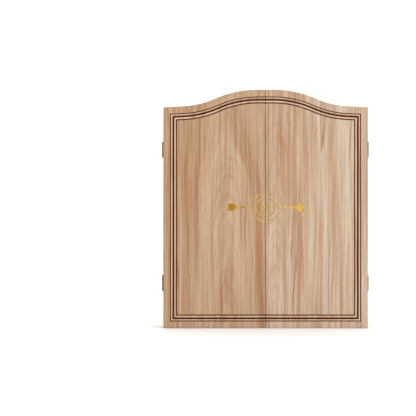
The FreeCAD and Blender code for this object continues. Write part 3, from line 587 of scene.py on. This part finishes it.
def hoop(curve, radius, y, steps=24):
    """A ring of wire round the middle of the board."""
    points = [on_board(radius, math.tau * i / steps, y) for i in range(steps)]
    add_line(curve, points, closed=True, rounded=True)


# ---------------------------------------------------------------- the doors' painted highlight bands

# the doors' top edge: half of its flat crest, the crown's arc, the hollow arc beyond it, and a straight tail
CREST_HALF = 19 * MM
CROWN_R = 267 * MM
CROWN_TURN = math.radians(24)
COVE_R = 213.5 * MM
TAIL_TURN = math.radians(3)
ARC_STEPS = 18
# pale bands between the dark lines, a painted highlight for the lit edges of routed grooves
# how far in from the doors' edge each strip starts and ends
HIGHLIGHT_BANDS = ((19.7 * MM, 22.2 * MM), (27.6 * MM, 31.1 * MM))
HIGHLIGHT_BAND_PROUD = 0.12 * MM


def half_outline(inset):
    """The right half of the doors' outline moved in by inset, from the top seam round to the bottom one."""
    points = [(HALF_GAP, PEAK_Z - inset)]
    crown_z = PEAK_Z - CROWN_R
    for i in range(ARC_STEPS + 1):
        turn = CROWN_TURN * i / ARC_STEPS
        radius = CROWN_R - inset
        points.append((CREST_HALF + radius * math.sin(turn), crown_z + radius * math.cos(turn)))
    reach = CROWN_R + COVE_R
    cove_x = CREST_HALF + reach * math.sin(CROWN_TURN)
    cove_z = crown_z + reach * math.cos(CROWN_TURN)
    for i in range(ARC_STEPS + 1):
        turn = CROWN_TURN + (TAIL_TURN - CROWN_TURN) * i / ARC_STEPS
        radius = COVE_R + inset
        points.append((cove_x - radius * math.sin(turn), cove_z - radius * math.cos(turn)))
    tail_x, tail_z = points[-1]
    side_x = HALF_W - inset
    points.append((side_x, tail_z - (side_x - tail_x) * math.tan(TAIL_TURN)))
    points.append((side_x, inset))
    points.append((HALF_GAP, inset))
    return points


def light_strip(name, side, body, material):
    """The two pale strips between the dark lines of one door: a painted highlight, paler veneer standing in
    for the lit edges of routed grooves.
    """
    vertices = []
    faces = []
    for outer_inset, inner_inset in HIGHLIGHT_BANDS:
        outer = half_outline(outer_inset)
        inner = half_outline(inner_inset)
        first = len(vertices)
        for (ox, oz), (ix, iz) in zip(outer, inner):
            for x, z in ((ox, oz), (ix, iz)):
                vertices.append((side * x, FRONT_Y - HIGHLIGHT_BAND_PROUD, z))
                vertices.append((side * x, FRONT_Y + HIGHLIGHT_BAND_PROUD, z))
        for i in range(len(outer) - 1):
            a = first + 4 * i
            b = a + 4
            faces += [(a, b, b + 2, a + 2), (a + 1, a + 3, b + 3, b + 1),
                      (a, a + 1, b + 1, b), (a + 2, b + 2, b + 3, a + 3)]
        last = first + 4 * (len(outer) - 1)
        faces += [(first, first + 2, first + 3, first + 1), (last, last + 1, last + 3, last + 2)]
    mesh = bpy.data.meshes.new(name)
    mesh.from_pydata(vertices, [], faces)
    clean(mesh)
    add(name, mesh, body, "door_veneer", material)


# ---------------------------------------------------------------- the wires of the board

SPIDER_WIRE_R = 0.75 * MM
SPIDER_PROUD = 0.6 * MM      # from the board's face to the middle of the wire
SPOKE_END = 2 * MM           # past the outer hoop


def spider(material):
    """Bright round wire: four hoops, two bull hoops and twenty spokes."""
    curve = wire_curve("wire_spider", SPIDER_WIRE_R)
    y = BOARD_FACE_Y - SPIDER_PROUD
    for radius in DOUBLE_R + TREBLE_R + (OUTER_BULL_R, BULL_R):
        hoop(curve, radius, y)
    for i in range(len(SECTORS)):
        turn = math.tau * (i + 0.5) / len(SECTORS)
        add_line(curve, [on_board(OUTER_BULL_R, turn, y), on_board(DOUBLE_R[1] + SPOKE_END, turn, y)])
    add("wire_spider", curve, "dartboard", "wire_steel", material, "spider_wires")


# clockwise from the top
NUMBERS = (20, 1, 18, 4, 13, 6, 10, 15, 2, 17, 3, 19, 7, 16, 8, 11, 14, 9, 12, 5)
FEET_OUT = range(6, 15)      # the sectors along the bottom, whose numbers stand on the hoop
NUMBER_RING_R = 217 * MM
NUMBER_WIRE_R = 1.4 * MM
NUMBER_H = 26 * MM
NUMBER_W = 14 * MM
DIGIT_GAP = 4.5 * MM
NUMBER_BEND = 2.6 * MM
NUMBER_CLEAR = 0.1 * MM      # between the wire and the board's face


def bow(cx, cz, rx, rz, start, end, steps):
    """Points round part of an oval, from start to end in degrees."""
    turns = [math.radians(start + (end - start) * i / steps) for i in range(steps + 1)]
    return [(cx + rx * math.cos(t), cz + rz * math.sin(t)) for t in turns]


# bent-wire digits in a box one unit wide and two high: (is it rounded, points)
DIGITS = {
    0: [(True, bow(0.5, 1.0, 0.5, 1.0, 90, 450, 12))],
    1: [(False, [(0.15, 1.65), (0.55, 2.0), (0.55, 0.0)])],
    2: [(True, bow(0.5, 1.45, 0.5, 0.55, 160, -30, 6) + [(0.05, 0.08)]),
        (False, [(0.0, 0.0), (1.0, 0.0)])],
    3: [(True, bow(0.45, 1.5, 0.5, 0.5, 150, -80, 7)), (True, bow(0.45, 0.5, 0.55, 0.5, 80, -150, 8))],
    4: [(False, [(1.0, 0.6), (0.0, 0.6), (0.7, 2.0), (0.7, 0.0)])],
    5: [(False, [(0.95, 2.0), (0.15, 2.0), (0.1, 1.15)]),
        (True, [(0.1, 1.15)] + bow(0.42, 0.65, 0.55, 0.65, 100, -150, 8))],
    6: [(True, [(0.8, 2.0), (0.3, 1.45)] + bow(0.5, 0.55, 0.48, 0.55, 165, 520, 11))],
    7: [(False, [(0.0, 2.0), (1.0, 2.0), (0.35, 0.0)])],
    8: [(True, bow(0.5, 1.5, 0.42, 0.5, -90, 270, 10)), (True, bow(0.5, 0.5, 0.5, 0.5, 90, 450, 10))],
    9: [(True, [(0.2, 0.0), (0.7, 0.55)] + bow(0.5, 1.45, 0.48, 0.55, -15, 340, 11))],
}


def wire_number(curve, value, sector, y):
    """One bent-wire number at its sector, with its head or its feet on the hoop."""
    digits = [int(c) for c in str(value)]
    total = len(digits) * NUMBER_W + (len(digits) - 1) * DIGIT_GAP
    middle = NUMBER_RING_R - NUMBER_H / 2
    flip = -1 if sector in FEET_OUT else 1
    turn = math.tau * sector / len(SECTORS)
    for place, digit in enumerate(digits):
        left = -total / 2 + place * (NUMBER_W + DIGIT_GAP)
        for is_round, line in DIGITS[digit]:
            points = []
            for a, b in line:
                sideways = flip * (left + a * NUMBER_W)
                outward = middle + flip * (b - 1) * NUMBER_H / 2
                point = Vector((sideways * math.cos(turn) + outward * math.sin(turn), y,
                                BOARD_MID.z - sideways * math.sin(turn) + outward * math.cos(turn)))
                points.append(point)
            if not is_round:
                points = bend_corners(points, NUMBER_BEND)
            is_loop = (points[0] - points[-1]).length < 0.01 * MM
            add_line(curve, points[:-1] if is_loop else points, closed=is_loop, rounded=is_round)


def number_ring(material):
    """The hoop of bent wire with the twenty numbers on it."""
    curve = wire_curve("wire_number_ring", NUMBER_WIRE_R)
    y = BOARD_FACE_Y - NUMBER_WIRE_R - NUMBER_CLEAR
    hoop(curve, NUMBER_RING_R, y, 40)
    for sector, value in enumerate(NUMBERS):
        wire_number(curve, value, sector, y)
    add("wire_number_ring", curve, "number_ring", "number_white", material, "number_ring")


# ---------------------------------------------------------------- materials of each part

FRAME_BROWN = srgb(132, 90, 58)
CASE_TONE = (0.96, 0.90, 0.83)
DARTS = range(1, 7)
RED_DARTS = (1, 2, 3)


def fitting_metals():
    """The hinges' old brass, the brass of the screws, and the zinc plating of the small steel parts."""
    brass = metal("hinge_brass", srgb(122, 97, 60), srgb(150, 122, 80), 0.34, 130.0)
    screw = metal("screw_brass", srgb(160, 130, 82), srgb(182, 152, 102), 0.26, 130.0, tooth=0.05)
    zinc = metal("zinc_steel", srgb(158, 158, 160), srgb(178, 178, 178), 0.3, 130.0)
    return brass, screw, zinc


def dress_doors(brass, screw, zinc):
    """Both doors with what is on them. Each door has a sheet of veneer of its own."""
    left = wood("veneer_left_door", heart=-0.131, depth=0.02, tone=(0.86, 0.75, 0.64), seed=3.1)
    right = wood("veneer_right_door", heart=-0.010, depth=0.006, tone=(0.98, 0.99, 1.02), seed=7.7)
    # a paler veneer for the bands between the dark lines: painted highlight where the grooves' edges would
    # catch the light
    strip = wood("veneer_painted_highlight", heart=0.4, tone=(1.10, 1.08, 1.10), figure=0.2, seed=1.3)
    board_low, board_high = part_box("right_scoreboard")
    rails = (board_low.z, board_high.z)
    finishes = {
        "door_lines": stained_wood("line_stain", srgb(78, 36, 19), gloss=0.8, shine=0.05),
        "emblem": gold("gold_inlay"),
        "hinge_leaves": brass,
        "door_screws": screw,
        "strike_plate": zinc,
        "scoreboard": slate("chalk_slate"),
        "scoreboard_frame": stained_wood("frame_stain", FRAME_BROWN, gloss=0.36, rails=rails),
        "dart_rack": stained_wood("rack_stain", FRAME_BROWN, run="x", gloss=0.36),
    }
    for side, name, veneer in ((-1, "left", left), (1, "right", right)):
        dress(name + "_door_panel", veneer)
        soften(name + "_door_panel", 0.7 * MM)
        light_strip(name + "_painted_highlight_bands", side, name + "_door", strip)
        for piece, material in finishes.items():
            dress(f"{name}_{piece}", material)
        soften(name + "_dart_rack", 0.8 * MM)
        smooth(name + "_hinge_leaves")


def dress_case(brass, screw, zinc):
    """The case and what is fixed in it. The grain runs up its sides and along its top and bottom."""
    side = wood("veneer_case", heart=0.02, figure=0.8, seed=5.2, tone=CASE_TONE)
    level = wood("veneer_case_level", along="x", heart=0.3, figure=0.6, seed=9.4, tone=CASE_TONE)
    for name in ("left_side", "right_side"):
        dress(name, side)
        soften(name, 0.6 * MM)
    for name in ("arch_top", "bottom_panel"):
        dress(name, level)
    dress("back_panel", plywood_back("back_plywood"))
    for name, material in (("case_hinge_leaves", brass), ("hinge_pins", brass), ("case_screws", screw)):
        dress(name, material)
        smooth(name)
    dress("board_bracket", zinc)
    dress("magnetic_catch", catch_plastic("catch_brown"))


def dress_board():
    """The dartboard and its number ring."""
    black = metal("black_enamel", srgb(22, 22, 24), srgb(46, 46, 48), 0.42, metallic=0.0)
    dress("sisal_disc", sisal("dyed_sisal"))
    dress("backing_board", chipboard("chipboard"))
    dress("steel_band", black)
    smooth("steel_band")
    dress("ring_clips", plastic("clip_black", srgb(13, 13, 14), 0.45, shine=0.15))
    soften("ring_clips", 0.25 * MM)
    dress("centre_screw", metal("screw_zinc", srgb(150, 150, 152), srgb(190, 190, 190)))
    dress("rubber_feet", plastic("foot_rubber", srgb(26, 26, 26), 0.7))
    spider(metal("bright_wire", srgb(196, 196, 196), srgb(226, 226, 226), 0.26, 300.0))
    number_ring(plastic("white_enamel", srgb(236, 236, 236), 0.3, strength=0.06, vary=0.03))


def dress_darts():
    """Six darts, with red flights on the left door and black ones on the right."""
    point = metal("dart_steel", srgb(178, 178, 180), srgb(196, 196, 197), 0.2, tooth=0.02)
    barrel = metal("dart_black_brass", srgb(26, 26, 28), srgb(44, 43, 42), 0.34, 500.0, 0.8, 0.05)
    stem = plastic("stem_black", srgb(16, 16, 18), 0.28)
    red = flight_film("flight_oxblood", srgb(74, 20, 26), srgb(168, 150, 150))
    black = flight_film("flight_black", srgb(24, 24, 28), srgb(150, 150, 148))
    for number in DARTS:
        flight = red if number in RED_DARTS else black
        finishes = {"point": point, "barrel": barrel, "stem": stem, "flight": flight}
        for piece, material in finishes.items():
            dress(f"dart_{number}_{piece}", material)
            if piece != "flight":
                smooth(f"dart_{number}_{piece}")


# ---------------------------------------------------------------- floor, light and camera

# the camera looks straight at the doors: its distance, the width it sees there, and the middle of its view
VIEW_DISTANCE = 3.2
VIEW_WIDTH = 1.0375
VIEW_MID = Vector((-0.1436, FRONT_Y, 0.300))
SENSOR_WIDTH = 36.0
FLOOR_RADIUS = 40.0
SKY_STRENGTH = 1.08
# name, place, what it aims at, side of its square, power, colour
LAMPS = (
    ("key", (1.9, -2.6, 2.4), (0, 0, 0.25), 1.2, 30.0, (1.0, 0.985, 0.96)),
    ("fill", (-2.4, -2.4, 1.3), (0, 0, 0.3), 2.2, 5.0, (1.0, 1.0, 1.0)),
    ("back", (0.4, 2.6, 2.2), (0, 0, 0.3), 2.0, 16.0, (1.0, 1.0, 1.0)),
)


def stage_floor():
    """A wide white floor under the cabinet."""
    bpy.ops.mesh.primitive_circle_add(vertices=96, radius=FLOOR_RADIUS, fill_type="NGON")
    floor = bpy.context.object
    floor.name = "floor"
    g = Graph("floor_white", Roughness=0.8)
    g.shade("Base Color", (0.97, 0.97, 0.965))
    floor.data.materials.append(g.material)


def lamp(name, place, aim, size, power, colour):
    """A square area light."""
    data = bpy.data.lights.new(name, "AREA")
    data.shape = "SQUARE"
    data.size = size
    data.energy = power
    data.color = colour
    light = bpy.data.objects.new(name, data)
    bpy.context.scene.collection.objects.link(light)
    light.location = place
    light.rotation_euler = (Vector(aim) - Vector(place)).to_track_quat("-Z", "Y").to_euler()


def sky():
    """Even white light from all round."""
    world = bpy.data.worlds.new("studio")
    bpy.context.scene.world = world
    world.use_nodes = True
    background = world.node_tree.nodes["Background"]
    background.inputs["Color"].default_value = (1.0, 1.0, 1.0, 1.0)
    background.inputs["Strength"].default_value = SKY_STRENGTH


def camera():
    """A level camera that faces the doors."""
    data = bpy.data.cameras.new("camera")
    data.sensor_width = SENSOR_WIDTH
    data.lens = SENSOR_WIDTH * VIEW_DISTANCE / VIEW_WIDTH
    data.clip_start = 0.05
    data.clip_end = 200.0
    eye = bpy.data.objects.new("camera", data)
    bpy.context.scene.collection.objects.link(eye)
    eye.location = VIEW_MID - Vector((0, VIEW_DISTANCE, 0))
    eye.rotation_euler = (math.radians(90), 0, 0)
    bpy.context.scene.camera = eye


fittings = fitting_metals()
dress_doors(*fittings)
dress_case(*fittings)
dress_board()
dress_darts()
stage_floor()
sky()
for settings in LAMPS:
    lamp(*settings)
camera()
bpy.context.scene.view_settings.view_transform = "Standard"
